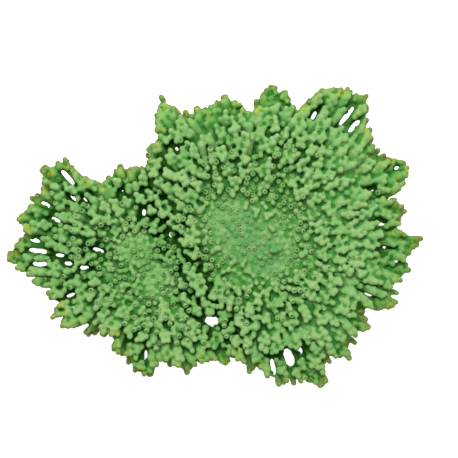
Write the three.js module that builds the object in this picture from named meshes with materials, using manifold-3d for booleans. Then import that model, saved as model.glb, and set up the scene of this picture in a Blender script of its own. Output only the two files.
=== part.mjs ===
// Plating table coral: a broad, slightly domed table of fused branches on a short stalk, and a smaller side
// table on a limb that forks off the stalk. Each table is a crown ringed by the fronds that its main forks
// grew into. A frond's solid is the space between its underside and the tips of the branchlets that stand on
// it. Millimetres, +Z up. The origin is the middle of the flat cut across the foot of the stalk. +X points
// from the side table towards the main table, along the coral's longest extent.
import * as THREE from 'three';
import { mergeVertices } from 'three/addons/utils/BufferGeometryUtils.js';
import Module from 'manifold-3d';

const wasm = await Module();
wasm.setup();

const GAP = 0.3; // clearance between pieces that meet face to face
const ROUND_STEPS = 48; // sides of a full turn of the stalk, a crown or a table
const TALL = 100; // height of a cutting prism, more than the whole coral

// The two tables: middle of the crown, crown radius, and the height of the underside above the foot.
const MAIN_TABLE = { x: 9, y: 2, crown: 26, base: 48 };
const SIDE_TABLE = { x: -50, y: -13, crown: 20, base: 45 };

// A table's section from its middle to its rim: [share of the reach, height above the table's base].
const UNDERSIDE = [[0, 0], [0.3, 0.4], [0.65, 3], [1, 6]];
const TIPS = [[1, 11], [0.95, 16], [0.84, 21], [0.62, 24], [0.4, 22], [0.28, 16], [0, 14.5]];

// The side crown is two mounds, parted across its middle. The angle points from the back mound to the front.
// Their section is [share of the crown's radius, height above the base], from the edge to the middle.
const MOUND_ANGLE = -54;
const MOUND_SECTION = [[1, 0], [1, 16], [0.7, 19], [0, 17]];

// The stalk: half-widths of the foot, and its outline as [share of the half-width, height].
const FOOT = { x: 36, y: 30 };
const STALK_OUTLINE = [[0, 0], [1, 0], [0.96, 5], [0.76, 15], [0.68, 25], [0.76, 36], [0.98, 46]];

// The side limb: its radius, its axis from inside the stalk out and up to the side table, and the flare that
// it ends in as [radius, depth below the table].
const LIMB_RADIUS = 12.5;
const LIMB_AXIS = [[-2, -1, 13], [-22, -6, 17], [-41, -11, 26], [-49.5, -13, 35], [-50, -13, 41]];
const LIMB_STEPS = 12;
const LIMB_FLARE = [[0, 12], [9, 12], [13, 7], [20, 2], [23, 0], [0, 0]];

// The line in plan where the two tables meet, from the back of the coral to the front.
const SEAM = [
  [-49, 60], [-49, 43], [-47, 30], [-41.5, 17], [-34.5, 2],
  [-29, -15], [-18.5, -32], [-11.5, -45], [0, -62], [4, -80],
];
const SEAM_HOLE = { x: -12.5, y: -45.5, length: 10, width: 5, angle: -32 }; // daylight between the tables

// Fronds, anticlockwise. rim: [angle in degrees, reach in mm] about the crown's middle, from notch to notch.
// lift: how far the tip of the frond rises or droops. slits: [angle, start, end, width], the long gaps left
// between branches that have not fused.
const MAIN_FRONDS = [
  {
    name: 'frond_right',
    lift: 2,
    rim: [
      [-20, 89], [-16, 91], [-11, 96], [-7, 94], [-2, 98], [1, 99], [3, 89], [6, 89],
      [12, 93], [16, 86],
    ],
    slits: [[-8, 82, 89, 1.8], [-3, 77.5, 82, 1.8], [7, 76, 82, 2]],
  },
  {
    name: 'frond_right_back',
    lift: -1.5,
    rim: [[16, 86], [19, 96], [24, 104], [28, 102], [31, 94], [35, 90]],
    slits: [[26, 94, 99, 2], [22, 76.5, 81, 1.8]],
  },
  {
    name: 'frond_back_right',
    lift: 4,
    rim: [
      [35, 90], [41, 96], [44, 96], [47, 103], [50, 109], [53, 106], [56, 106],
      [60, 102], [64, 99], [67, 89], [69, 82],
    ],
    slits: [[47, 86, 96, 2.8], [51.5, 85, 100, 2.6], [62, 79, 86, 2]],
  },
  {
    name: 'frond_back',
    lift: 0,
    rim: [[69, 82], [75, 89], [81, 91], [84, 88], [87, 79], [89, 74]],
    slits: [],
  },
  {
    name: 'frond_back_left',
    lift: 2.5,
    rim: [[89, 74], [93, 81], [99, 85], [103, 83], [107, 81], [111, 83], [116, 80]],
    slits: [],
  },
  {
    name: 'frond_left_back',
    lift: -1,
    rim: [
      [116, 80], [119, 91], [121, 96], [126, 92], [130, 84], [131, 79], [138, 79],
      [144, 75], [150, 72],
    ],
    slits: [[127.5, 66, 69.5, 1.6], [131.5, 70, 74, 1.6]],
  },
  { name: 'frond_left', lift: -10, rim: [[150, 72], [162, 60], [180, 50], [205, 48]], slits: [] },
  { name: 'frond_left_front', lift: -9, rim: [[205, 48], [231, 52], [246, 62], [262, 68]], slits: [] },
  {
    name: 'frond_front',
    lift: 1.5,
    rim: [
      [262, 68], [266, 70], [271, 75], [274, 73], [277, 79], [283, 85], [287, 85],
      [293, 90], [297, 95], [300, 91], [304, 83],
    ],
    slits: [[281.5, 70, 81, 2.6], [289.5, 67, 78, 6], [295.5, 69, 73.5, 3]],
  },
  {
    name: 'frond_front_right',
    lift: -2,
    rim: [[304, 83], [309, 88], [311, 93], [313, 88], [317, 84]],
    slits: [],
  },
  {
    name: 'frond_right_front',
    lift: 3,
    rim: [
      [317, 84], [320, 84], [324, 87], [327, 79], [329, 78], [332, 86], [335, 92],
      [337, 94], [340, 89],
    ],
    slits: [[336, 74, 80, 2]],
  },
];
const SIDE_FRONDS = [
  {
    name: 'side_frond_back',
    lift: -2,
    rim: [
      [58, 40], [74, 44], [86, 50], [89, 57], [95, 58], [101, 57], [105, 61], [111, 58],
      [119, 55], [121, 60],
    ],
    slits: [[93, 29.5, 33.5, 2.8], [108, 43, 48.5, 1.8]],
  },
  {
    name: 'side_frond_back_left',
    lift: 4,
    rim: [[121, 60], [125, 65], [127, 78], [131, 80], [136, 83], [140, 81], [143, 75], [146, 74]],
    slits: [[131.5, 63.5, 75, 2.8], [137, 55.5, 61.5, 2], [132.5, 51, 55.5, 1.8]],
  },
  {
    name: 'side_frond_left',
    lift: 0,
    rim: [
      [146, 74], [149, 77], [155, 77], [158, 81], [161, 80], [165, 72], [169, 76],
      [173, 80], [177, 81], [181, 75], [186, 67],
    ],
    slits: [
      [148.5, 65, 74, 2.2], [153, 56.5, 63, 2.2], [167, 63, 72, 2.4], [172, 57, 70, 3], [178.8, 58, 67, 3],
      [173, 48, 54, 2.2], [178, 43.5, 48.5, 2.6], [181.5, 34, 39.5, 3], [162, 26, 34, 2.2],
    ],
  },
  {
    name: 'side_frond_left_front',
    lift: 3,
    rim: [
      [186, 67], [190, 65], [193, 59], [200, 58], [204, 56], [208, 62], [211, 57],
      [215, 61], [220, 55], [225, 49], [229, 53], [233, 46],
    ],
    slits: [[201, 44.5, 50.5, 2]],
  },
  {
    name: 'side_frond_front',
    lift: -1,
    rim: [
      [233, 46], [237, 48], [242, 45], [246, 47], [248, 52], [257, 54], [263, 61],
      [270, 64], [273, 63], [278, 57],
    ],
    slits: [[254, 42, 49, 2.2], [269.5, 49, 56, 2]],
  },
  {
    name: 'side_frond_front_right',
    lift: 1,
    rim: [
      [278, 57], [286, 60], [291, 65], [303, 65], [307, 71], [309, 74], [315, 72],
      [330, 55], [345, 40],
    ],
    slits: [],
  },
];

const stalkFinish = new THREE.MeshStandardMaterial({ color: 0x5d7a42, roughness: 0.85, metalness: 0 });
const frondFinish = new THREE.MeshStandardMaterial({ color: 0x6f9e55, roughness: 0.75, metalness: 0 });
const crownFinish = new THREE.MeshStandardMaterial({ color: 0x669d55, roughness: 0.75, metalness: 0 });

const radians = THREE.MathUtils.degToRad;

// The plan point at an angle and a distance about a table's middle.
function planPoint(table, angle, distance) {
  return new THREE.Vector2(
    table.x + distance * Math.cos(radians(angle)),
    table.y + distance * Math.sin(radians(angle)),
  );
}

function solidOf(geometry) {
  const bare = geometry.index ? geometry.toNonIndexed() : geometry.clone();
  bare.deleteAttribute('normal');
  bare.deleteAttribute('uv');
  const merged = mergeVertices(bare, 1e-3);
  return new wasm.Manifold(
    new wasm.Mesh({
      numProp: 3,
      vertProperties: merged.attributes.position.array,
      triVerts: new Uint32Array(merged.index.array),
    }),
  );
}

function meshOf(name, solid, finish) {
  const { vertProperties, triVerts } = solid.getMesh();
  const geometry = new THREE.BufferGeometry();
  geometry.setAttribute('position', new THREE.BufferAttribute(vertProperties, 3));
  geometry.setIndex(new THREE.BufferAttribute(triVerts, 1));
  geometry.computeVertexNormals();
  const mesh = new THREE.Mesh(geometry, finish);
  mesh.name = name;
  return mesh;
}

// A solid of revolution about +Z from [radius, height] pairs that start and end on the axis, lowest first.
function turned(profile) {
  const points = profile.map(([radius, height]) => new THREE.Vector2(radius, height));
  return new THREE.LatheGeometry(points, ROUND_STEPS).rotateX(Math.PI / 2);
}

// A tall prism over a plan shape, from the floor up.
function prism(shape, curveSegments = 8) {
  return solidOf(new THREE.ExtrudeGeometry(shape, { depth: TALL, bevelEnabled: false, curveSegments }));
}

// The whole round slab of a table whose longest branch has this reach and whose rim is lifted this far.
function tableSlab(table, reach, lift) {
  const section = [...UNDERSIDE, ...TIPS].map(([share, height]) => [
    share * reach,
    table.base + height + lift * share ** 3,
  ]);
  return solidOf(turned(section).translate(table.x, table.y, 0));
}

// A slit as a narrow ellipse along its branch, its ends at the two distances from the crown's middle.
function slitPath(table, [angle, start, end, width]) {
  const middle = planPoint(table, angle, (start + end) / 2);
  return new THREE.Path().absellipse(
    middle.x, middle.y, (end - start) / 2, width / 2, 0, 2 * Math.PI, false, radians(angle),
  );
}

// A frond's outline in plan: round the crown, out to the rim, and back, half a gap inside its two notches.
function frondShape(table, { rim, slits }) {
  const inner = table.crown + GAP;
  const inset = (distance) => THREE.MathUtils.radToDeg(Math.asin(GAP / 2 / distance));
  const [first, last] = [rim[0], rim.at(-1)];
  const outline = [
    planPoint(table, first[0] + inset(inner), inner),
    planPoint(table, first[0] + inset(first[1]), first[1]),
    ...rim.slice(1, -1).map(([angle, reach]) => planPoint(table, angle, reach)),
    planPoint(table, last[0] - inset(last[1]), last[1]),
    planPoint(table, last[0] - inset(inner), inner),
  ];
  const crownEdge = [last[0] - inset(inner), first[0] + inset(inner)].map(radians);
  const shape = new THREE.Shape(outline);
  shape.absarc(table.x, table.y, inner, ...crownEdge, true);
  shape.holes = slits.map((slit) => slitPath(table, slit));
  return shape;
}

// The plan area on one side of the seam: sign 1 for the main table's side, -1 for the side table's.
function territory(sign) {
  const far = sign * TALL * 2;
  const border = SEAM.map(([x, y]) => new THREE.Vector2(x + sign * GAP, y));
  const [back, front] = [border[0], border.at(-1)];
  const corners = [new THREE.Vector2(far, front.y - TALL), new THREE.Vector2(far, back.y + TALL)];
  const ends = [new THREE.Vector2(front.x, front.y - TALL), new THREE.Vector2(back.x, back.y + TALL)];
  return prism(new THREE.Shape([...border, ends[0], ...corners, ends[1]]));
}

function seamHole() {
  const { x, y, length, width, angle } = SEAM_HOLE;
  return prism(
    new THREE.Shape().absellipse(x, y, length / 2, width / 2, 0, 2 * Math.PI, false, radians(angle)),
  );
}

function fronds(table, list, side) {
  const ground = territory(side).subtract(seamHole());
  return list.map((frond) => {
    const reach = Math.max(...frond.rim.map(([, distance]) => distance));
    const slab = tableSlab(table, reach, frond.lift);
    const solid = slab.intersect(prism(frondShape(table, frond))).intersect(ground);
    return meshOf(frond.name, solid, frondFinish);
  });
}

function mainCrown() {
  const { x, y, crown, base } = MAIN_TABLE;
  const top = base + TIPS.at(-1)[1];
  const profile = [[0, base], [crown, base], [crown, top + 1.5], [crown * 0.8, top], [0, top]];
  return meshOf('crown', solidOf(turned(profile).translate(x, y, 0)), crownFinish);
}

// Half of the side crown: the disc's part on one side of the cleft between its mounds.
function sideMound(name, angle) {
  const { x, y, crown, base } = SIDE_TABLE;
  const profile = [[0, base], ...MOUND_SECTION.map(([share, height]) => [share * crown, base + height])];
  const half = new THREE.BoxGeometry(2 * crown, 4 * crown, TALL)
    .translate(crown + GAP / 2, 0, TALL / 2)
    .rotateZ(radians(angle))
    .translate(x, y, 0);
  const solid = solidOf(turned(profile).translate(x, y, 0)).intersect(solidOf(half));
  return meshOf(name, solid.intersect(territory(-1)), crownFinish);
}

// The stalk, oval in plan, leaning so that its top lies under the main crown. grow widens it all round.
function stalkSolid(grow = 0) {
  const top = MAIN_TABLE.base - GAP;
  const outline = [...STALK_OUTLINE, [1, top], [0, top]];
  const lean = new THREE.Matrix4().set(
    1, 0, MAIN_TABLE.x / top, 0,
    0, (FOOT.y + grow) / (FOOT.x + grow), MAIN_TABLE.y / top, 0,
    0, 0, 1, 0,
    0, 0, 0, 1,
  );
  const profile = outline.map(([share, height]) => [share * FOOT.x + (share && grow), height]);
  return solidOf(turned(profile).applyMatrix4(lean));
}

// The limb curves out of the stalk's side and flares under the side crown.
function sideLimb() {
  const top = SIDE_TABLE.base - GAP;
  const axis = new THREE.CatmullRomCurve3(LIMB_AXIS.map((point) => new THREE.Vector3(...point)));
  const section = new THREE.Shape().absarc(0, 0, LIMB_RADIUS, 0, 2 * Math.PI);
  const bend = new THREE.ExtrudeGeometry(section, {
    extrudePath: axis,
    steps: LIMB_STEPS,
    curveSegments: ROUND_STEPS / 4,
  });
  const flare = turned(LIMB_FLARE.map(([radius, depth]) => [radius, top - depth]));
  const limb = solidOf(bend).add(solidOf(flare.translate(SIDE_TABLE.x, SIDE_TABLE.y, 0)));
  return limb.subtract(stalkSolid(GAP));
}

const coral = new THREE.Group();
coral.add(
  meshOf('stalk', stalkSolid(), stalkFinish),
  meshOf('side_limb', sideLimb(), stalkFinish),
  mainCrown(),
  ...fronds(MAIN_TABLE, MAIN_FRONDS, 1),
  sideMound('side_crown_front', MOUND_ANGLE),
  sideMound('side_crown_back', MOUND_ANGLE + 180),
  ...fronds(SIDE_TABLE, SIDE_FRONDS, -1),
);

export default coral;
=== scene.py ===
"""A plating table coral: two tables of fused branches, thick with branchlets, on one stalk.

Every solid of the frame is replaced by a coral piece that fills the same space. A piece starts as a plate
and many round-ended bars: the ribs in the plate, the ground between the branchlets, their stems and the small
tubes on them. They are fused into one skin, and open mouths are set on it.
"""
import math
import random

import bmesh
import bpy
import numpy as np
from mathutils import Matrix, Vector, noise
from mathutils.bvhtree import BVHTree
from mathutils.kdtree import KDTree


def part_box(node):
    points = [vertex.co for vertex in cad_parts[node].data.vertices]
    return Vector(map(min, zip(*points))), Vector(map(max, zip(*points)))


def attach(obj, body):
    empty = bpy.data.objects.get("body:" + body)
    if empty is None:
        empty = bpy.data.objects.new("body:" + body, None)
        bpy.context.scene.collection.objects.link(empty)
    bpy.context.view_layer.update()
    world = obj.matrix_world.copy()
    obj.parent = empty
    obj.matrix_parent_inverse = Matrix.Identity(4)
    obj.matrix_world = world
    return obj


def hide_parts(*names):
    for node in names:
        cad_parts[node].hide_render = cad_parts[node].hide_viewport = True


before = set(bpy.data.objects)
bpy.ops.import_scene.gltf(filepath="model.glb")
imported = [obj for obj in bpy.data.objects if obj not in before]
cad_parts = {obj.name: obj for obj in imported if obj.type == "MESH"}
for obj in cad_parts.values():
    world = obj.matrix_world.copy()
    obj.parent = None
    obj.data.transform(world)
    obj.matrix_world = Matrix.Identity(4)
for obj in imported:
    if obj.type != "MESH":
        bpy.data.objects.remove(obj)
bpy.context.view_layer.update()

MM = 0.001
SEED = 11
rng = random.Random(SEED)

# How fine the fused skin is before it is thinned, and the share of its faces that is then kept.
GRAIN, KEPT = 0.6 * MM, 0.36
STALK_GRAIN, STALK_KEPT = 0.9 * MM, 0.45
LUMP_HEIGHT = 0.6 * MM
SCRAP_POINTS = 40           # a closed scrap of skin with no more points than this is dropped

# The sizes of a branch, in metres.
PLATE_MIDDLE = 5.0 * MM     # the most that is kept of a solid's own height. Bars fill the rest of the ground
PLATE_RIM = 3.7 * MM        # thickness of the plate at the rim
RIM_INSET = 1.5 * MM        # the plate stops this far inside the rim, and its ribs run on as fingers
RIB_SPACING = 4.5 * MM      # ribs stand this far apart when they have just forked
RIB_RADIUS = 2.1 * MM
FINGER_RADIUS = 1.75 * MM
KNOB_RADIUS = 1.85 * MM     # a corallite
ROOTED = 1.5 * MM           # how deep a stem or tube starts below the ground
SEAM_LEAN = 14 * MM         # branchlets stand upright at the seam, and lean in full from this far off
FARTHEST = 130 * MM         # no table reaches further from its middle

STEM_TRIES, KNOB_TRIES = 22000, 80000   # places thrown over the plan
FLUTE_TRIES, FLUTE_SPACING = 900, 6.5 * MM
MOUTH_TRIES = 9000

FOUR_SIDES = ((1, 0), (-1, 0), (0, 1), (0, -1))


# -------- the frame, read as a plan

class Plan:
    """Which solid fills each spot of the coral seen from above, and how low and how high it reaches there."""

    PITCH = 1.0 * MM
    SOFTENINGS = 12

    def __init__(self, names):
        self.names = names
        corners = [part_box(name) for name in names]
        self.low_x = min(low.x for low, _ in corners) - 3 * self.PITCH
        self.low_y = min(low.y for low, _ in corners) - 3 * self.PITCH
        wide = max(high.x for _, high in corners) + 3 * self.PITCH - self.low_x
        deep = max(high.y for _, high in corners) + 3 * self.PITCH - self.low_y
        self.shape = (int(wide / self.PITCH) + 1, int(deep / self.PITCH) + 1)
        self.owner = np.full(self.shape, -1, int)
        self.top = np.zeros(self.shape)
        self.low = np.zeros(self.shape)
        for index, name in enumerate(names):
            self.scan(index, name)
        self.close_gaps()
        self.soften_top()
        edge = self.edge_cells()
        outside = self.outside()
        self.edge_tree = self.tree_of(edge)
        self.slit_tree = self.tree_of([spot for spot in edge if not outside[tuple(spot)]])
        self.rim_tree = self.tree_of([spot for spot in edge if outside[tuple(spot)]])

    def cell(self, x, y):
        i = min(max(int((x - self.low_x) / self.PITCH), 0), self.shape[0] - 1)
        j = min(max(int((y - self.low_y) / self.PITCH), 0), self.shape[1] - 1)
        return i, j

    def spot(self, i, j):
        return self.low_x + (i + 0.5) * self.PITCH, self.low_y + (j + 0.5) * self.PITCH

    def scan(self, index, name):
        tree = tree_of_node(name)
        low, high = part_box(name)
        first, last = self.cell(low.x, low.y), self.cell(high.x, high.y)
        for i in range(first[0], last[0] + 1):
            for j in range(first[1], last[1] + 1):
                x, y = self.spot(i, j)
                above = tree.ray_cast(Vector((x, y, 1)), Vector((0, 0, -1)))[0]
                if above is None:
                    continue
                below = tree.ray_cast(Vector((x, y, -1)), Vector((0, 0, 1)))[0]
                self.owner[i, j] = index
                self.top[i, j] = above.z
                self.low[i, j] = below.z

    def close_gaps(self):
        """The thin gaps between neighbours are no part of the coral's shape."""
        owner = self.owner.copy()
        for i in range(1, self.shape[0] - 1):
            for j in range(1, self.shape[1] - 1):
                if owner[i, j] >= 0:
                    continue
                around = [(i + a, j + b) for a in (-1, 0, 1) for b in (-1, 0, 1) if owner[i + a, j + b] >= 0]
                if len({owner[spot] for spot in around}) > 1:
                    self.owner[i, j] = owner[around[0]]
                    self.top[i, j] = np.mean([self.top[spot] for spot in around])
                    self.low[i, j] = np.mean([self.low[spot] for spot in around])

    def soften_top(self):
        """The steps between the tops of neighbouring solids run into each other."""
        filled = self.owner >= 0
        for _ in range(self.SOFTENINGS):
            total, count = self.top * filled, filled.astype(float)
            for shift in FOUR_SIDES:
                total = total + np.roll(self.top * filled, shift, (0, 1))
                count += np.roll(filled, shift, (0, 1))
            self.top = np.where(filled, total / count.clip(1), 0)

    def edge_cells(self):
        """The empty cells that touch the coral, at its rim and in its slits."""
        filled = self.owner >= 0
        near = np.zeros_like(filled)
        for shift in FOUR_SIDES:
            near |= np.roll(filled, shift, (0, 1))
        return np.argwhere(near & ~filled)

    def outside(self):
        """The empty cells beyond the rim, without those in the slits."""
        found = np.zeros(self.shape, bool)
        found[0, 0] = True
        size = 0
        while found.sum() > size:
            size = found.sum()
            for shift in FOUR_SIDES:
                found |= np.roll(found, shift, (0, 1))
            found &= self.owner < 0
        return found

    def tree_of(self, cells):
        tree = KDTree(len(cells))
        for index, (i, j) in enumerate(cells):
            tree.insert((*self.spot(i, j), 0), index)
        tree.balance()
        return tree

    def clearance(self, x, y):
        """How far the spot is from the nearest open space, less than 0 where it is outside."""
        if self.owner[self.cell(x, y)] < 0:
            return -1 * MM
        return self.edge_tree.find((x, y, 0))[2] - self.PITCH / 2

    def slit_clearance(self, x, y):
        return self.slit_tree.find((x, y, 0))[2] - self.PITCH / 2

    def rim_clearance(self, x, y):
        return self.rim_tree.find((x, y, 0))[2] - self.PITCH / 2

    def away(self, x, y, need):
        """The spot, moved so that it is at least this far from open space."""
        for _ in range(3):
            nearest, _, distance = self.edge_tree.find((x, y, 0))
            short = need + self.PITCH / 2 - distance
            if short <= 0 or distance < 1e-6:
                break
            x += (x - nearest.x) / distance * short
            y += (y - nearest.y) / distance * short
        return x, y

    def owner_name(self, x, y):
        index = self.owner[self.cell(x, y)]
        return self.names[index] if index >= 0 else None

    def heights(self, x, y):
        """The underside and the branchlet tips at a spot."""
        spot = self.cell(x, y)
        return self.low[spot], self.top[spot]


def tree_of_node(name):
    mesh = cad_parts[name].data
    return BVHTree.FromPolygons([v.co for v in mesh.vertices], [p.vertices for p in mesh.polygons])


class Table:
    """One table: its crown's middle and radius, and its nodes."""

    def __init__(self, crown_names, names, plan):
        corners = [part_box(name) for name in crown_names]
        low = [min(low[k] for low, _ in corners) for k in (0, 1)]
        high = [max(high[k] for _, high in corners) for k in (0, 1)]
        self.x, self.y = (low[0] + high[0]) / 2, (low[1] + high[1]) / 2
        self.crown = (high[0] - low[0] + high[1] - low[1]) / 4
        self.names = set(names)
        self.plan = plan
        self.reaches = [self.reach_at(math.radians(angle)) for angle in range(360)]

    def owns(self, x, y):
        return self.plan.owner_name(x, y) in self.names

    def point(self, angle, distance):
        return self.x + distance * math.cos(angle), self.y + distance * math.sin(angle)

    def polar(self, x, y):
        return math.atan2(y - self.y, x - self.x), math.hypot(x - self.x, y - self.y)

    def reach_at(self, angle):
        distance = FARTHEST
        while distance > self.crown and not self.owns(*self.point(angle, distance)):
            distance -= 1 * MM
        return distance

    def share(self, x, y):
        """0 at the crown's edge, 1 at the rim."""
        angle, distance = self.polar(x, y)
        reach = self.reaches[int(math.degrees(angle)) % 360]
        return (distance - self.crown) / max(reach - self.crown, 5 * MM)


ALL_NAMES = sorted(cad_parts)
SIDE_CROWNS = ["side_crown_back", "side_crown_front"]
STALKS = ["stalk", "side_limb"]
main_names = [name for name in ALL_NAMES if name == "crown" or name.startswith("frond_")]
side_names = [name for name in ALL_NAMES if name.startswith("side_") and name != "side_limb"]
plan = Plan(main_names + side_names)
main_table = Table(["crown"], main_names, plan)
side_table = Table(SIDE_CROWNS, side_names, plan)


def table_at(name):
    return main_table if name in main_table.names else side_table


def table_share(name, x, y):
    table = table_at(name)
    share = min(max(table.share(x, y), 0), 1)
    return share if table is main_table else share * 0.8


def seam_tree():
    """The line where the two tables meet."""
    is_main = np.isin(plan.owner, [plan.names.index(name) for name in main_names])
    is_side = np.isin(plan.owner, [plan.names.index(name) for name in side_names])
    near = np.zeros_like(is_main)
    for shift in FOUR_SIDES:
        near |= np.roll(is_side, shift, (0, 1))
    return plan.tree_of(np.argwhere(near & is_main))


seam = seam_tree()


def seam_distance(x, y):
    return seam.find((x, y, 0))[2]


def waver(x, y, size, seed=0.0):
    """A soft random value from about -1 to 1 that changes over this size."""
    return noise.noise(Vector((x / size, y / size, seed)))


class Swelling:
    """A smooth swelling with flush corallites: the crown's middle, or one of the side crown's mounds."""

    APART = 1.45            # the side crown's mounds stand this much further apart than their solids' middles

    def __init__(self, name, half_length, half_width, angle, flatness):
        self.flatness = flatness
        self.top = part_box(name)[1].z
        table = table_at(name)
        spots = np.argwhere(plan.owner == plan.names.index(name))
        x, y = plan.spot(*spots.mean(0))
        self.x, self.y = table.x + (x - table.x) * self.APART, table.y + (y - table.y) * self.APART
        self.half_length, self.half_width = half_length, half_width
        self.cos, self.sin = math.cos(angle), math.sin(angle)

    def away(self, x, y):
        """0 in the middle, 1 at the swelling's edge."""
        dx, dy = x - self.x, y - self.y
        along, across = dx * self.cos + dy * self.sin, dy * self.cos - dx * self.sin
        return math.hypot(along / self.half_length, across / self.half_width)

    def smoothness(self, x, y):
        wander = 0.3 * waver(x, y, 9 * MM, 3.0) + 0.2 * waver(x, y, 4 * MM, 7.0)
        return self.flatness * eased((1.3 - self.away(x, y) - wander) / 0.7)

    def surface(self, x, y, around):
        """The height of the swelling's skin, which runs out into the skin around it."""
        bumps = 1.1 * waver(x, y, 8 * MM) + 0.4 * waver(x, y, 3 * MM, 5.0)
        above = self.top - (2.4 + 1.7 * (1 - self.flatness) - bumps) * MM - around
        return around + max(above, 0) * eased((1.75 - self.away(x, y)) / 0.9)


def eased(value):
    value = min(max(value, 0), 1)
    return value * value * (3 - 2 * value)


swellings = [Swelling("crown", 26 * MM, 15.5 * MM, math.radians(-38), 1)]
swellings += [Swelling(name, 8 * MM, 7.5 * MM, 0, 0.12) for name in SIDE_CROWNS]


def fusion(x, y):
    """0 where the branchlets stand apart, 1 on the right-hand fronds, where they have run together."""
    return eased((x - main_table.x) / (55 * MM) - 0.2 + 0.2 * waver(x, y, 20 * MM, 2.0))


def plate_thickness(x, y):
    """Thin at the rim, low at the seam, and nearest to the tips where the branchlets have run together."""
    low, top = plan.heights(x, y)
    name = plan.owner_name(x, y)
    share = table_share(name, x, y) if name else 1
    # The share of the height from underside to tips that is filled.
    filled = 0.64 - 0.1 * eased(share / 0.4) + 0.19 * fusion(x, y) + 0.14 * waver(x, y, 7 * MM, 9.0)
    filled *= 0.35 + 0.65 * eased(seam_distance(x, y) / (19 * MM))
    full = max(filled * (top - low), PLATE_RIM)
    return PLATE_RIM + (full - PLATE_RIM) * eased(plan.clearance(x, y) / (9 * MM))


def rim_drop(x, y):
    """How much lower the branchlets stay near the rim."""
    return 1.8 * MM * (1 - eased(plan.clearance(x, y) / (14 * MM)))


def smoothness(x, y):
    return max(swelling.smoothness(x, y) for swelling in swellings)


def ground(x, y):
    """The height of the skin between the branchlets."""
    low, _ = plan.heights(x, y)
    height = low + plate_thickness(x, y)
    return max(swelling.surface(x, y, height) for swelling in swellings)


# -------- shapes that repeat

def bead_shape():
    """A coarse ball whose halves are pulled apart into a round-ended bar: a rib, a stem or a tube."""
    bm = bmesh.new()
    bmesh.ops.create_uvsphere(bm, u_segments=8, v_segments=5, radius=1)
    return arrays_of(bm)


def turned_shape(section, steps):
    """A closed section turned about its axis. Both its ends are on the axis."""
    bm = bmesh.new()
    verts = [bm.verts.new((radius, 0, height)) for radius, height in section]
    edges = [bm.edges.new(pair) for pair in zip(verts, verts[1:])]
    bmesh.ops.spin(
        bm, geom=verts + edges, cent=(0, 0, 0), axis=(0, 0, 1), angle=math.tau, steps=steps, use_merge=True,
    )
    bmesh.ops.remove_doubles(bm, verts=bm.verts, dist=1e-4)
    bmesh.ops.recalc_face_normals(bm, faces=bm.faces)
    return arrays_of(bm)


def arrays_of(bm):
    """A shape's points, and its faces as triangles."""
    bmesh.ops.triangulate(bm, faces=bm.faces)
    points = np.array([v.co for v in bm.verts])
    faces = np.array([[v.index for v in f.verts] for f in bm.faces])
    bm.free()
    return points, faces


BEAD = bead_shape()
MOUTH_SIDES = 8
# A corallite's open mouth, its lip at about height 0: a tube's end, of radius 1, and one in a smooth face.
# A section goes from the middle of the back, round the wall and over the lip, to the middle of the pore.
TUBE_MOUTH = turned_shape([
    (0, -1.7), (0.75, -1.6), (1, -1.1), (0.95, -0.4), (0.68, 0), (0.42, 0.06), (0.28, -0.1), (0.24, -0.5),
    (0, -0.55),
], MOUTH_SIDES)
FLUSH_MOUTH = turned_shape([
    (0, -1.1), (1.3, -1.0), (1.25, -0.6), (0.95, -0.12), (0.65, 0.04), (0.42, -0.02), (0.34, -0.4), (0, -0.5),
], MOUTH_SIDES)


def pit_of(mouth):
    """1 at the points inside a mouth, which get painted shade, 0 on its wall and lip."""
    points, _ = mouth
    floor = points[np.hypot(points[:, 0], points[:, 1]) < 0.01, 2].max()
    return ((np.hypot(points[:, 0], points[:, 1]) < 0.5) & (points[:, 2] >= floor - 0.01)).astype(float)


def linked(name, data):
    made = bpy.data.objects.new(name, data)
    bpy.context.scene.collection.objects.link(made)
    return made


def mesh_from(name, points, faces):
    mesh = bpy.data.meshes.new(name)
    mesh.from_pydata(points.tolist(), [], faces.tolist())
    mesh.update()
    return mesh


class Growth:
    """What grows on one solid: bars (from, to, radius at each end), and mouths (place, facing, radius)."""

    def __init__(self):
        self.bars = []
        self.cups = []
        self.flush = []

    def bar(self, start, end, start_radius, end_radius):
        self.bars.append((*start, *end, start_radius, end_radius))

    def bar_arrays(self):
        bars = np.array(self.bars)
        start, end = bars[:, 0:3], bars[:, 3:6]
        shape, faces = BEAD
        far = (shape[:, 2] > 0)[None, :, None]
        centre = np.where(far, end[:, None], start[:, None])
        radius = np.where(far, bars[:, None, 7:8], bars[:, None, 6:7])
        return joined_arrays(centre + radius * facing_copies(shape, end - start), faces)


def mouth_arrays(cups, mouth):
    """A copy of the mouth for each cup."""
    cups = np.array(cups)
    shape, faces = mouth
    return joined_arrays(cups[:, None, 0:3] + cups[:, None, 6:7] * facing_copies(shape, cups[:, 3:6]), faces)


def facing_copies(shape, directions):
    """A copy of the shape's points for each direction, its own +Z turned to it."""
    across, over, along = axes_of(directions)
    return (
        shape[None, :, 0:1] * across[:, None]
        + shape[None, :, 1:2] * over[:, None]
        + shape[None, :, 2:3] * along[:, None]
    )


def axes_of(directions):
    """For each direction, three square unit axes, the last along it."""
    along = directions / np.linalg.norm(directions, axis=1, keepdims=True)
    helper = np.where(np.abs(along[:, 2:3]) > 0.9, [[1.0, 0, 0]], [[0, 0, 1.0]])
    across = np.cross(helper, along)
    across /= np.linalg.norm(across, axis=1, keepdims=True)
    return across, np.cross(along, across), along


def joined_arrays(points, faces):
    count, size = points.shape[0], points.shape[1]
    shifted = faces[None] + np.arange(count)[:, None, None] * size
    return points.reshape(-1, 3), shifted.reshape(-1, 3)


growths = {name: Growth() for name in ALL_NAMES}


# -------- ribs

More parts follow.
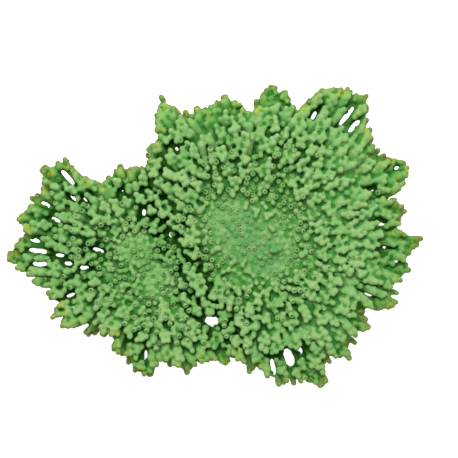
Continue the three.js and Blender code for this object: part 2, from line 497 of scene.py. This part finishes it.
def trace_ribs(table):
    """Ribs that leave the crown, fork as they spread, and end at the rim. Each is a list of plan points."""
    ribs = []
    count = round(math.tau * table.crown * 0.85 / RIB_SPACING)
    width = math.tau / count
    offset = rng.uniform(0, width)
    open_ends = []
    for k in range(count):
        start = offset + k * width
        open_ends.append((table.crown * 0.7, start + width / 2, start, start + width, []))
    while open_ends:
        distance, angle, slot_start, slot_end, path = open_ends.pop()
        target = (slot_start + slot_end) / 2
        fork = 1.75 * RIB_SPACING * rng.uniform(0.85, 1.2) / (slot_end - slot_start)
        sway, phase = rng.uniform(0.3, 0.9) * MM, rng.uniform(0, math.tau)
        path = list(path)
        first = distance
        while True:
            ease = eased((distance - first) / (11 * MM))
            wander = sway * ease * math.sin(distance / (7 * MM) + phase) / distance
            turn = angle + (target - angle) * ease + wander
            x, y = table.point(turn, distance)
            if not table.owns(x, y) and distance > table.crown + 6 * MM:
                if plan.clearance(*plan.away(x, y, 1.5 * MM)) < 0:
                    break
            x, y = plan.away(x, y, 1.7 * MM if plan.slit_clearance(x, y) < 4 * MM else 1.2 * MM)
            path.append((x, y))
            distance += 1.8 * MM
            if distance > fork or distance > FARTHEST:
                break
        reached = table.point(target, distance)
        if distance > fork and table.owns(*reached):
            middle = slot_start + (slot_end - slot_start) * rng.uniform(0.42, 0.58)
            tail = path[-1:]
            ribs.append(path)
            open_ends.append((distance, turn, slot_start, middle, tail))
            open_ends.append((distance, turn, middle, slot_end, tail))
        else:
            ribs.append(path)
    return [rib for rib in ribs if len(rib) > 1]


def lay_ribs(ribs):
    """Each rib is a row of short bars, proud of the plate above and below, thinner as a finger at the rim."""
    for rib in ribs:
        for (x, y), (next_x, next_y) in zip(rib, rib[1:]):
            name = plan.owner_name((x + next_x) / 2, (y + next_y) / 2)
            lows = [plan.heights(*spot)[0] for spot in ((x, y), (next_x, next_y))]
            if name is None or min(lows) <= 0:
                continue
            inner = eased(plan.clearance(next_x, next_y) / (8 * MM))
            radius = (FINGER_RADIUS + (RIB_RADIUS - FINGER_RADIUS) * inner) * rng.uniform(0.92, 1.08)
            heights = [low + (1.9 - 0.4 * inner) * MM for low in lows]
            growths[name].bar((x, y, heights[0]), (next_x, next_y, heights[1]), radius, radius)


# A finger's three places: how far back from the rim, its clearance from open space, and its radius there.
FINGER_PLACES = ((12 * MM, 3 * MM, 2.3 * MM), (6 * MM, 2.4 * MM, 2.1 * MM), (-0.6 * MM, -2 * MM, 1.6 * MM))
FINGER_SLIT_CLEARANCE = 2.4 * MM


def finger_rim(table):
    """A stout finger out to each point of the rim, in two bars."""
    reaches = table.reaches
    for angle in range(360):
        window = [reaches[(angle + k) % 360] for k in range(-3, 4)]
        if reaches[angle] < max(window) or reaches[angle] < min(window) + 1 * MM:
            continue
        turn = math.radians(angle + 0.5)
        spots = [
            plan.away(*table.point(turn, reaches[angle] - back), clear)
            for back, clear, _ in FINGER_PLACES
        ]
        radii = [radius for _, _, radius in FINGER_PLACES]
        for near, far, thick, thin in zip(spots, spots[1:], radii, radii[1:]):
            name = plan.owner_name(*near)
            between_slits = min(plan.slit_clearance(*near), plan.slit_clearance(*far)) > FINGER_SLIT_CLEARANCE
            if name not in table.names or not between_slits:
                continue
            lows = [plan.heights(*plan.away(*spot, 0.6 * MM))[0] for spot in (near, far)]
            if min(lows) > 0:
                ends = [(*spot, low + 2.3 * MM) for spot, low in zip((near, far), lows)]
                growths[name].bar(*ends, thick, thin)


# -------- branchlets

def leaning(lean, heading):
    return Vector((math.sin(lean) * math.cos(heading), math.sin(lean) * math.sin(heading), math.cos(lean)))


def corallite(name, start, end, radius, is_open):
    """A tube from its start to its round or open end."""
    facing = (end - start).normalized()
    if is_open:
        growths[name].bar(start, end - facing * radius * 1.25, radius, radius)
        growths[name].cups.append((*(end + facing * radius * 0.8), *facing, radius * 0.96))
    else:
        growths[name].bar(start, end, radius * 1.05, radius)


class Spread:
    """Places that keep a distance from each other, which differs along and across the branches."""

    def __init__(self, cell):
        self.cell = cell
        self.taken = {}

    def add(self, x, y):
        self.taken.setdefault((int(x // self.cell), int(y // self.cell)), []).append((x, y))

    def is_free(self, x, y, heading, along, across):
        i, j = int(x // self.cell), int(y // self.cell)
        cos, sin = math.cos(heading), math.sin(heading)
        for a in (i - 1, i, i + 1):
            for b in (j - 1, j, j + 1):
                for other_x, other_y in self.taken.get((a, b), ()):
                    dx, dy = other_x - x, other_y - y
                    if ((dx * cos + dy * sin) / along) ** 2 + ((dy * cos - dx * sin) / across) ** 2 < 1:
                        return False
        return True


def scattered(count, spacing, free):
    """Places thrown over the plan, each keeping its spacing (along and across its branch) from the others."""
    spread, places = Spread(11 * MM), []
    width, depth = plan.shape[0] * plan.PITCH, plan.shape[1] * plan.PITCH
    for _ in range(count):
        x, y = plan.low_x + rng.random() * width, plan.low_y + rng.random() * depth
        name = plan.owner_name(x, y)
        if name is None or not free(x, y):
            continue
        angle, _ = table_at(name).polar(x, y)
        share = table_share(name, x, y)
        if spread.is_free(x, y, angle, *spacing(share)):
            spread.add(x, y)
            places.append((name, x, y, angle, share))
    return places


class Branchlet:
    """A stem that leans further out the nearer it is to the rim, and the corallites round its tip."""

    def __init__(self, name, x, y, angle, share):
        self.name, self.x, self.y, self.share = name, x, y, share
        self.smooth = smoothness(x, y)
        self.heading = angle + rng.uniform(-0.3, 0.3)
        _, top = plan.heights(x, y)
        drop = rng.uniform(0, 3.4 - 1.2 * share) * (1 - self.smooth) * MM
        off_seam = eased(seam_distance(x, y) / SEAM_LEAN)
        lean = math.radians(62 * share ** 0.85 + rng.uniform(-7, 10)) * (1 - self.smooth) * off_seam
        self.core = (2.6 + 0.2 * share) * MM
        self.along, self.across = branchlet_spacing(share)
        self.tip = Vector((x, y, top - drop - KNOB_RADIUS - rim_drop(x, y)))
        rise = max(self.tip.z - ground(x, y) + ROOTED, 2 * MM)
        back = min(rise * math.tan(max(lean, 0)), 9.5 * MM)
        self.foot = self.foot_at(x - back * math.cos(self.heading), y - back * math.sin(self.heading))
        if not self.is_clear():
            self.foot = self.foot_at(x, y)
        self.rising = (self.tip - self.foot).normalized()

    def foot_at(self, x, y):
        return Vector((x, y, ground(x, y) - ROOTED))

    def is_clear(self):
        """Whether the stem rises from the coral and crosses no slit."""
        between = [self.foot.lerp(self.tip, share) for share in (0, 0.35, 0.7)]
        return self.foot.z < self.tip.z - 1 * MM and all(
            plan.owner_name(x, y) is not None and plan.slit_clearance(x, y) > 1.6 * MM for x, y, _ in between
        )

    def grow_stem(self):
        if (self.tip - self.foot).length > 4 * MM and self.smooth < 0.6:
            end = self.tip - self.rising * (2.4 - 0.9 * self.share) * MM
            growths[self.name].bar(self.foot, end, self.core * 0.9, self.core)

    def away(self, x, y):
        cos, sin = math.cos(self.heading), math.sin(self.heading)
        dx, dy = x - self.x, y - self.y
        return math.hypot((dx * cos + dy * sin) / self.along, (dy * cos - dx * sin) / self.across)

    def drawn_in(self, x, y, pull):
        """The spot, drawn in towards the stem's middle line, which runs outwards."""
        cos, sin = math.cos(self.heading), math.sin(self.heading)
        dx, dy = x - self.x, y - self.y
        along, across = (dx * cos + dy * sin) * (1 - 0.25 * pull), (dy * cos - dx * sin) * (1 - pull)
        return self.x + along * cos - across * sin, self.y + along * sin + across * cos

    def grow_corallite(self, x, y):
        """A corallite beside the stem's tip, lower the further out, or flush with a crown's smooth top."""
        smooth = smoothness(x, y)
        run_out = 0.05 + (0.17 + 0.16 * fusion(x, y)) * eased(self.share / 0.4)
        drawn_x, drawn_y = self.drawn_in(x, y, run_out * (1 - smooth))
        if plan.owner_name(drawn_x, drawn_y) is not None:
            x, y = drawn_x, drawn_y
        outward = Vector((x - self.x, y - self.y, 0)) / (9 * MM)
        _, top = plan.heights(x, y)
        height = self.tip.z - (2.2 * self.away(x, y) ** 2 + rng.uniform(-0.6, 0.6)) * MM
        height = min(height, top - KNOB_RADIUS - rim_drop(x, y))
        height += (ground(x, y) + rng.uniform(-0.7, 0.6) * MM - height) * smooth
        end = Vector((x, y, max(height, ground(x, y) - 0.6 * MM)))
        facing = self.rising + outward + leaning(rng.uniform(0, 0.3), rng.uniform(0, math.tau)) * 0.3
        facing.normalize()
        length = min(6.5 * MM, max((end.z - ground(x, y)) / max(facing.z, 0.3) + ROOTED, 2.4 * MM))
        start = end - facing * length
        radius = KNOB_RADIUS * rng.uniform(0.82, 0.98) * (1 + 0.1 * eased(self.share / 0.4))
        open_share = 0.75 if smooth > 0.5 else max(0.42 - 0.5 * self.share - 0.25 * fusion(x, y), 0.04)
        is_open = facing.z > 0.68 and rng.random() < open_share
        if is_open and smooth > 0.5:
            growths[self.name].bar(start, end - facing * 0.9 * MM, radius, radius)
            growths[self.name].flush.append((*(end + facing * 1.1 * MM), *facing, radius * 0.72))
        else:
            corallite(self.name, start, end, radius, is_open)


def branchlet_spacing(share):
    """How far apart two stems stand, along and across their branch."""
    return (6.0 + 3.4 * share) * MM, (5.6 - 0.9 * eased(share / 0.4)) * MM


def knob_spacing(share):
    """And two corallites."""
    across = 2.95
    return (across + 0.4 * share) * MM, across * MM


def plant_branchlets():
    """Stems first, then the corallites, each of which grows on the nearest stem, or alone in a wider gap."""
    seeds = scattered(STEM_TRIES, branchlet_spacing, lambda x, y: plan.clearance(x, y) > 2.0 * MM)
    branchlets = [Branchlet(*seed) for seed in seeds]
    tree = KDTree(len(branchlets))
    for index, branchlet in enumerate(branchlets):
        tree.insert((branchlet.x, branchlet.y, 0), index)
        branchlet.grow_stem()
    tree.balance()
    places = scattered(
        KNOB_TRIES, knob_spacing,
        lambda x, y: plan.clearance(x, y) > 0.3 * MM and plan.slit_clearance(x, y) > 1.5 * MM,
    )
    for name, x, y, angle, share in places:
        near = [branchlets[index] for _, index, _ in tree.find_range((x, y, 0), 13 * MM)]
        near = [branchlet for branchlet in near if branchlet.name == name]
        nearest = min(near, key=lambda branchlet: branchlet.away(x, y), default=None)
        if nearest and nearest.away(x, y) < 0.95:
            nearest.grow_corallite(x, y)
        else:
            grow_alone(name, x, y, angle, share)


def grow_alone(name, x, y, angle, share):
    """A single tube in a gap between branchlets."""
    _, top = plan.heights(x, y)
    foot = Vector((x, y, ground(x, y) - ROOTED))
    lean = min(rng.uniform(0, 0.2) + 0.9 * share, 1) * eased(seam_distance(x, y) / SEAM_LEAN)
    length = min((top - foot.z) * rng.uniform(0.5, 0.9), 10 * MM)
    facing = leaning(lean, angle)
    while plan.clearance(*(foot + facing * length).xy) < 0.3 * MM and length > 3 * MM:
        length -= 1 * MM
    is_open = share < 0.5 and rng.random() < 0.6
    corallite(name, foot, foot + facing * length, KNOB_RADIUS * rng.uniform(0.85, 1.05), is_open)


# -------- the ground between them

def fill_ground():
    """The fused body of the coral: bars that stand side by side from the plate up to the skin's height."""
    step, radius = 2.6 * MM, 2.6 * MM
    for i in range(int(plan.shape[0] * plan.PITCH / step)):
        for j in range(int(plan.shape[1] * plan.PITCH / step)):
            x = plan.low_x + (i + 0.5 * (j % 2)) * step + rng.uniform(-0.4, 0.4) * MM
            y = plan.low_y + j * step + rng.uniform(-0.4, 0.4) * MM
            name = plan.owner_name(x, y)
            if name is None or plan.clearance(x, y) < radius + 1 * MM:
                continue
            low, _ = plan.heights(x, y)
            high = ground(x, y)
            if high - low > 2 * radius + 0.3 * MM:
                growths[name].bar((x, y, low + radius + 0.2 * MM), (x, y, high - radius), radius, radius)
            elif seam_distance(x, y) < 4 * MM:
                # On low ground a small bar closes the crack between the tables.
                growths[name].bar((x, y, low + 1.8 * MM), (x, y, low + 2 * MM), 2.2 * MM, 2.2 * MM)


# -------- stalk and limb

def flute(name, count, spacing):
    """Rounded ridges that climb the solid's sides and wander a little, and knobs scattered between them."""
    tree = tree_of_node(name)
    low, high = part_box(name)
    starts = []
    for _ in range(count):
        spot = Vector(rng.uniform(a, b) for a, b in zip(low, high))
        place, normal, _, _ = tree.find_nearest(spot)
        if abs(normal.z) > 0.8 or any((other - place).length < spacing for other in starts):
            continue
        starts.append(place)
        climb_ridge(name, tree, place, rng.uniform(12, 30) * MM, rng.uniform(1.8, 3.0) * MM)
        bump, normal, _, _ = tree.find_nearest(place + Vector(rng.uniform(-4, 4) * MM for _ in range(3)))
        if abs(normal.z) < 0.8 and bump.z > 6 * MM:
            radius = rng.uniform(1.3, 1.9) * MM
            knob = bump + normal * rng.uniform(0.6, 2.0) * MM
            growths[name].bar(bump - normal * 1 * MM, knob, radius, radius)


def climb_ridge(name, tree, place, length, radius):
    sway, climbed, step = rng.uniform(-0.4, 0.4), 0, 2.5 * MM
    while climbed < length:
        _, normal, _, _ = tree.find_nearest(place)
        up = Vector((0, 0, 1)) - normal * normal.z
        if up.length < 0.3:
            break
        ahead = (up.normalized() + normal.cross(up).normalized() * sway).normalized()
        onward, next_normal, _, _ = tree.find_nearest(place + ahead * step)
        if (onward - place).length < step / 3:
            break
        swell = radius * math.sin(math.pi * min(0.25 + 0.6 * climbed / length, 1))
        growths[name].bar(place - normal * swell * 0.45, onward - next_normal * swell * 0.45, swell, swell)
        place, climbed = onward, climbed + step
        sway = min(max(sway + rng.uniform(-0.25, 0.25), -0.6), 0.6)


# -------- making the pieces

def plate_of(name):
    """The frame's solid cut down to its plate, and grown a little into its neighbours against cracks."""
    bm = bmesh.new()
    bm.from_mesh(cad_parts[name].data)
    bmesh.ops.remove_doubles(bm, verts=bm.verts, dist=1e-6)
    if name in STALKS:
        return arrays_of(bm)
    bm.normal_update()
    tops = {v for v in bm.verts if any(f.normal.z > 0.3 for f in v.link_faces)}
    table = table_at(name)
    for v in bm.verts:
        point, _, _, distance = neighbours[name].find_nearest(v.co)
        joins = point is not None and distance < 1.2 * MM
        if v in tops:
            x, y = plan.away(v.co.x, v.co.y, 0.6 * MM)
            low, _ = plan.heights(x, y)
            v.co.z = low + min(plate_thickness(x, y), PLATE_MIDDLE) if low > 0 else v.co.z
        if joins:
            shift = Vector((point.x - v.co.x, point.y - v.co.y, 0))
            if shift.length > 1e-6:
                v.co += shift.normalized() * 0.9 * MM
        if not joins or distance > 0.5 * MM or plan.clearance(v.co.x, v.co.y) < 2 * MM:
            angle, distance = table.polar(v.co.x, v.co.y)
            if table.reaches[int(math.degrees(angle)) % 360] - distance < 3 * MM:
                x, y = table.point(angle, distance - RIM_INSET)
                v.co.x, v.co.y = x, y
    return arrays_of(bm)


def neighbour_tree(name):
    """The surfaces of every other solid, as one tree."""
    points, faces = [], []
    for other in ALL_NAMES:
        if other == name or other in STALKS:
            continue
        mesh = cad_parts[other].data
        base = len(points)
        points += [v.co.copy() for v in mesh.vertices]
        faces += [[base + k for k in p.vertices] for p in mesh.polygons]
    return BVHTree.FromPolygons(points, faces)


neighbours = {name: neighbour_tree(name) for name in ALL_NAMES}

LUMPS = bpy.data.textures.new("lumps", "CLOUDS")
LUMPS.noise_scale = 5 * MM
LUMPS.noise_depth = 2


def fused(name, mesh, grain, kept):
    """One skin round everything in the mesh, softened, and slightly lumpy."""
    piece = linked(name, mesh)
    fuse = piece.modifiers.new("fuse", "REMESH")
    fuse.mode = "VOXEL"
    fuse.voxel_size = grain
    soften = piece.modifiers.new("soften", "SMOOTH")
    soften.factor = 0.5
    soften.iterations = 1
    thin = piece.modifiers.new("thin", "DECIMATE")
    thin.ratio = kept
    swell = piece.modifiers.new("swell", "DISPLACE")
    swell.texture = LUMPS
    swell.texture_coords = "LOCAL"
    swell.strength = LUMP_HEIGHT
    swell.mid_level = 0.5
    bpy.context.view_layer.update()
    made = bpy.data.meshes.new_from_object(piece.evaluated_get(bpy.context.evaluated_depsgraph_get()))
    bpy.data.objects.remove(piece)
    return made


def arrays_from(mesh):
    points = np.zeros(len(mesh.vertices) * 3)
    mesh.vertices.foreach_get("co", points)
    mesh.calc_loop_triangles()
    faces = np.zeros(len(mesh.loop_triangles) * 3, int)
    mesh.loop_triangles.foreach_get("vertices", faces)
    return points.reshape(-1, 3), faces.reshape(-1, 3)


def without_scraps(points, faces):
    """The skin without the tiny closed scraps that thinning can leave inside it."""
    label, before = np.arange(len(points)), None
    while before is None or (label != before).any():
        before = label.copy()
        lowest = label[faces].min(1)
        for k in range(3):
            np.minimum.at(label, faces[:, k], lowest)
        label = label[label]
    kept = np.bincount(label, minlength=len(points))[label] > SCRAP_POINTS
    index = np.cumsum(kept) - 1
    return points[kept], index[faces[kept[faces[:, 0]]]]


def on_plan(points, values):
    """The plan's value at each point."""
    cells = np.stack([(points[:, 0] - plan.low_x) / plan.PITCH, (points[:, 1] - plan.low_y) / plan.PITCH], 1)
    cells = np.clip(cells.astype(int), 0, np.array(plan.shape) - 1)
    return values[cells[:, 0], cells[:, 1]]


def over_plan(reading):
    """A reading at every spot of the plan."""
    return np.array([[reading(*plan.spot(i, j)) for j in range(plan.shape[1])] for i in range(plan.shape[0])])


# Where the stalk stands on the painted depth shade's scale, and the least that the tables' undersides get.
STALK_EXPOSURE, UNDERSIDE_EXPOSURE = 0.55, 0.5


def exposure(name, points, normals):
    """0 deep between the branchlets, 1 at their tips, and in between on the stalk and below the tables. The
    lower it is, the darker the colour is painted: painted shade, partly the tissue's own darker colour deep
    down.
    """
    if name in STALKS:
        return np.full(len(points), STALK_EXPOSURE)
    low, top = on_plan(points, plan.low), on_plan(points, plan.top)
    values = (points[:, 2] - low) / np.maximum(top - low, 4 * MM)
    values[top <= 0] = 0.6
    below = np.clip(-2 * normals[:, 2], 0, 1) * np.clip((0.4 - values) / 0.2, 0, 1)
    return np.clip(np.maximum(values, UNDERSIDE_EXPOSURE * below), 0, 1)


def bareness(name, points):
    """1 at the stalk's foot, where no living skin is left, and 0 from half way up."""
    if name not in STALKS:
        return np.zeros(len(points))
    wander = np.array([waver(x, z, 9 * MM) + waver(y, z, 5 * MM) for x, y, z in points])
    return np.clip(1.0 - points[:, 2] / (30 * MM) + 0.35 * wander, 0, 1)


def set_mouths(name, points, faces):
    """Flush mouths, sparse on the stalk and below the plates."""
    corners = points[faces]
    centres = corners.mean(1)
    normals = np.cross(corners[:, 1] - corners[:, 0], corners[:, 2] - corners[:, 0])
    normals /= np.linalg.norm(normals, axis=1, keepdims=True).clip(1e-15)
    found, taken = [], {}
    order = list(range(len(faces)))
    rng.shuffle(order)
    for index in order[:MOUTH_TRIES]:
        place, facing = Vector(centres[index]), Vector(normals[index])
        spacing = mouth_spacing(name, place, facing)
        if spacing is None:
            continue
        cell = tuple(int(v // (9 * MM)) for v in place)
        near = [
            other
            for a in (-1, 0, 1) for b in (-1, 0, 1) for c in (-1, 0, 1)
            for other in taken.get((cell[0] + a, cell[1] + b, cell[2] + c), ())
        ]
        if any((other - place).length < spacing for other in near):
            continue
        taken.setdefault(cell, []).append(place)
        radius = KNOB_RADIUS * rng.uniform(0.55, 0.75)
        found.append((*(place + facing * 0.35 * MM), *facing, radius))
    return found


def mouth_spacing(name, place, facing):
    if name in STALKS:
        return 6.5 * MM if 6 * MM < place.z and abs(facing.z) < 0.9 else None
    return 8 * MM if facing.z < -0.8 else None


def point_normals(points, faces):
    normals = np.zeros_like(points)
    across = np.cross(points[faces[:, 1]] - points[faces[:, 0]], points[faces[:, 2]] - points[faces[:, 0]])
    for k in range(3):
        for axis in range(3):
            normals[:, axis] += np.bincount(faces[:, k], across[:, axis], len(points))
    return normals / np.linalg.norm(normals, axis=1, keepdims=True).clip(1e-12)


def creases(points, faces):
    """How hollow the skin is at each point, which sets painted shade in the creases: below 0 on a knob, above
    0 in a crease, in millimetres.
    """
    pairs = np.concatenate([faces[:, [0, 1]], faces[:, [1, 2]], faces[:, [2, 0]]])
    count = np.bincount(pairs[:, 0], minlength=len(points)).clip(1)[:, None]

    def averaged(values):
        sums = [np.bincount(pairs[:, 0], values[pairs[:, 1], k], len(points)) for k in range(values.shape[1])]
        return np.stack(sums, 1) / count

    softened = points
    for _ in range(3):
        softened = averaged(softened)
    hollow = np.einsum("ij,ij->i", softened - points, point_normals(points, faces))[:, None]
    return averaged(averaged(hollow))[:, 0] / MM


RIM = over_plan(lambda x, y: min(max(1 - plan.rim_clearance(x, y) / (12 * MM), 0), 1))
SMOOTH = over_plan(smoothness)
FUSION = over_plan(fusion)


def together(*parts):
    """Several (points, faces) as one."""
    points, faces, count = [], [], 0
    for part_points, part_faces in parts:
        points.append(part_points)
        faces.append(part_faces + count)
        count += len(part_points)
    return np.concatenate(points), np.concatenate(faces)


def make_piece(name, material):
    growth = growths[name]
    parts = [plate_of(name)]
    if growth.bars:
        parts.append(growth.bar_arrays())
    grain, kept = (STALK_GRAIN, STALK_KEPT) if name in STALKS else (GRAIN, KEPT)
    skin = fused(name, mesh_from(name, *together(*parts)), grain, kept)
    points, faces = without_scraps(*arrays_from(skin))
    points[:, 2] = np.maximum(points[:, 2], 0)
    crease = creases(points, faces)
    pit = np.zeros(len(points))
    flush = growth.flush + set_mouths(name, points, faces)
    for cups, mouth in ((growth.cups, TUBE_MOUTH), (flush, FLUSH_MOUTH)):
        if cups:
            # How dark each mouth's painted shade is.
            shade = np.array([rng.uniform(0.1, 0.7) for _ in cups])
            pit = np.concatenate([pit, (shade[:, None] * pit_of(mouth)[None]).reshape(-1)])
            points, faces = together((points, faces), mouth_arrays(cups, mouth))
            crease = np.concatenate([crease, np.zeros(len(points) - len(crease))])
    mesh = mesh_from(name + "_coral", points, faces)
    mesh.shade_smooth()
    readings = {
        "exposure": exposure(name, points, point_normals(points, faces)), "bareness": bareness(name, points),
        "rim": on_plan(points, RIM), "smooth": on_plan(points, SMOOTH), "fusion": on_plan(points, FUSION),
        "pit": pit, "crease": crease,
    }
    for label, values in readings.items():
        attribute = mesh.attributes.new(label, "FLOAT", "POINT")
        attribute.data.foreach_set("value", values.astype(np.float32))
    mesh.materials.append(material)
    piece = linked(name + "_coral", mesh)
    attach(piece, "root")
    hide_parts(name)


# -------- finishes

# From deep between the branchlets to their tips: painted shade, darker the deeper, partly the tissue's own
# darker colour there. And from the stalk's living skin down to bare skeleton.
SHADED_DEEP_TO_TIP = (
    (0.0, (0.01, 0.065, 0.0)), (0.35, (0.052, 0.2, 0.02)), (0.65, (0.145, 0.35, 0.088)),
    (0.95, (0.28, 0.458, 0.168)),
)
LIVING_TO_BARE = ((0, (0.13, 0.26, 0.045)), (0.45, (0.17, 0.2, 0.06)), (1, (0.42, 0.35, 0.2)))
CROWN_TEAL = (0.105, 0.34, 0.1, 1)
YELLOW_PATCH = (0.36, 0.4, 0.03, 1)
BROWN_EDGE = (0.15, 0.14, 0.03, 1)
# Painted shade inside the open mouths.
PORE_SHADE = (0.01, 0.035, 0.006, 1)
# Tints, which the colour below them is multiplied by.
# Painted shade in the creases between the knobs.
CREASE_SHADE_TINT = (0.3, 0.62, 0.3, 1)
CROWN_TINT = (0.8, 0.86, 0.8, 1)
BLOTCH_TINT = (0.78, 0.93, 0.86, 1)
GRAIN_TINT = (0.84, 0.88, 0.82, 1)
OLIVE_RIM_TINT = (1.15, 1.0, 0.7, 1)
BARE_GRAIN_TINT = (0.72, 0.74, 0.68, 1)
# Painted shade in the creases of the bare skeleton.
BARE_CREASE_SHADE_TINT = (0.5, 0.52, 0.42, 1)


def coral_finish(name):
    material = bpy.data.materials.new(name)
    material.use_nodes = True
    tree = material.node_tree
    shader = tree.nodes["Principled BSDF"]
    shader.inputs["Roughness"].default_value = 0.6
    shader.inputs["Specular IOR Level"].default_value = 0.12

    def reading(label):
        node = tree.nodes.new("ShaderNodeAttribute")
        node.attribute_name = label
        return node.outputs["Fac"]

    def ramped(value, stops):
        node = tree.nodes.new("ShaderNodeValToRGB")
        elements = node.color_ramp.elements
        while len(elements) < len(stops):
            elements.new(0.5)
        for element, (place, colour) in zip(elements, stops):
            element.position = place
            element.color = (*colour, 1)
        tree.links.new(value, node.inputs["Fac"])
        return node.outputs["Color"]

    def ranged(value, low, high):
        node = tree.nodes.new("ShaderNodeMapRange")
        node.inputs["From Min"].default_value = low
        node.inputs["From Max"].default_value = high
        tree.links.new(value, node.inputs["Value"])
        return node.outputs["Result"]

    def feed(sockets, values):
        for socket, value in zip(sockets, values):
            if isinstance(value, bpy.types.NodeSocket):
                tree.links.new(value, socket)
            else:
                socket.default_value = value

    def mixed(share, first, second, blend="MIX"):
        node = tree.nodes.new("ShaderNodeMix")
        node.data_type = "RGBA"
        node.blend_type = blend
        feed([node.inputs[k] for k in (0, 6, 7)], (share, first, second))
        return node.outputs[2]

    def worked(operation, first, second):
        node = tree.nodes.new("ShaderNodeMath")
        node.operation = operation
        feed(node.inputs, (first, second))
        return node.outputs["Value"]

    def speckle(size, detail=3):
        node = tree.nodes.new("ShaderNodeTexNoise")
        node.inputs["Scale"].default_value = 1 / size
        node.inputs["Detail"].default_value = detail
        tree.links.new(place, node.inputs["Vector"])
        return node.outputs["Fac"]

    place = tree.nodes.new("ShaderNodeTexCoord").outputs["Object"]
    rim, smooth = reading("rim"), reading("smooth")
    # Painted shade: the colour darkens with depth between the branchlets, partly the tissue's own darker
    # colour there, and less at the rim and where the branchlets have fused.
    lifted = worked("MAXIMUM", reading("exposure"), worked("MULTIPLY", rim, 0.74))
    lifted = worked("MAXIMUM", lifted, worked("MULTIPLY", reading("fusion"), 0.45))
    depth = ramped(lifted, SHADED_DEEP_TO_TIP)
    blotches = ranged(speckle(5 * MM), 0.35, 0.65)
    colour = mixed(worked("MULTIPLY", worked("MULTIPLY", smooth, 0.8), blotches), depth, CROWN_TEAL)
    # Painted shade in the creases between the knobs, weaker on the smooth crown.
    crease_shade_mask = ranged(reading("crease"), 0.0, 0.1)
    crease_shade_share = worked("SUBTRACT", 0.9, worked("MULTIPLY", smooth, 0.6))
    colour = mixed(worked("MULTIPLY", crease_shade_mask, crease_shade_share), colour, CREASE_SHADE_TINT, "MULTIPLY")
    colour = mixed(worked("MULTIPLY", smooth, 0.6), colour, CROWN_TINT, "MULTIPLY")
    colour = mixed(ranged(speckle(9 * MM), 0.35, 0.7), colour, BLOTCH_TINT, "MULTIPLY")
    colour = mixed(ranged(speckle(0.7 * MM), 0.35, 0.7), colour, GRAIN_TINT, "MULTIPLY")
    yellow = worked("MULTIPLY", ranged(speckle(4 * MM), 0.57, 0.65), ranged(rim, 0.3, 0.8))
    colour = mixed(worked("MULTIPLY", yellow, 0.8), colour, YELLOW_PATCH)
    colour = mixed(worked("MULTIPLY", ranged(rim, 0.35, 1.0), 0.6), colour, OLIVE_RIM_TINT, "MULTIPLY")
    brown = worked("MULTIPLY", ranged(rim, 0.84, 0.97), ranged(speckle(2.5 * MM), 0.38, 0.52))
    colour = mixed(worked("MULTIPLY", brown, 0.75), colour, BROWN_EDGE)
    bare = reading("bareness")
    skeleton = ramped(bare, LIVING_TO_BARE)
    skeleton = mixed(ranged(speckle(2 * MM), 0.4, 0.6), skeleton, BARE_GRAIN_TINT, "MULTIPLY")
    # Painted shade in the creases of the bare stalk.
    skeleton = mixed(crease_shade_mask, skeleton, BARE_CREASE_SHADE_TINT, "MULTIPLY")
    colour = mixed(ranged(bare, 0.0, 0.4), colour, skeleton)
    # Painted shade inside each open mouth.
    colour = mixed(reading("pit"), colour, PORE_SHADE)
    tree.links.new(colour, shader.inputs["Base Color"])
    return material


# -------- the studio

FLOOR_HALF = 3
FLOOR_GLOW, SKY_GLOW = 0.8, 0.45
LAMP_PLACE, LAMP_SIZE, LAMP_POWER = (-0.1, 0.5, 1.1), 0.8, 15
CAMERA_PLACE, LENS, SENSOR = (-0.0017, 0.0087, 0.966), 122.6, 36


def studio():
    scene = bpy.context.scene
    scene.view_settings.view_transform = "Standard"
    bm = bmesh.new()
    bmesh.ops.create_grid(bm, x_segments=1, y_segments=1, size=FLOOR_HALF)
    mesh = bpy.data.meshes.new("floor")
    bm.to_mesh(mesh)
    bm.free()
    floor = linked("floor", mesh)
    paper = bpy.data.materials.new("white paper")
    paper.use_nodes = True
    shader = paper.node_tree.nodes["Principled BSDF"]
    shader.inputs["Base Color"].default_value = (0.9, 0.9, 0.9, 1)
    shader.inputs["Roughness"].default_value = 0.8
    shader.inputs["Emission Color"].default_value = (1, 1, 1, 1)
    shader.inputs["Emission Strength"].default_value = FLOOR_GLOW
    mesh.materials.append(paper)

    world = bpy.data.worlds.new("studio")
    scene.world = world
    world.use_nodes = True
    world.node_tree.nodes["Background"].inputs["Color"].default_value = (1, 1, 1, 1)
    world.node_tree.nodes["Background"].inputs["Strength"].default_value = SKY_GLOW

    soft_light("overhead", LAMP_PLACE, LAMP_SIZE, LAMP_POWER)

    lens = bpy.data.cameras.new("camera")
    lens.lens = LENS
    lens.sensor_width = SENSOR
    camera = linked("camera", lens)
    camera.location = CAMERA_PLACE
    scene.camera = camera


def soft_light(name, place, size, power):
    lamp = bpy.data.lights.new(name, "AREA")
    lamp.shape = "DISK"
    lamp.size = size
    lamp.energy = power
    light = linked(name, lamp)
    light.location = place
    light.rotation_euler = (Vector((0, 0, 0.05)) - Vector(place)).to_track_quat("-Z", "Y").to_euler()


# -------- build

for table in (main_table, side_table):
    lay_ribs(trace_ribs(table))
    finger_rim(table)
plant_branchlets()
fill_ground()
for name in STALKS:
    flute(name, FLUTE_TRIES, FLUTE_SPACING)

green = coral_finish("green coral")
for name in ALL_NAMES:
    if name in STALKS:
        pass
    elif "crown" in name:
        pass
    else:
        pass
    make_piece(name, green)

studio()
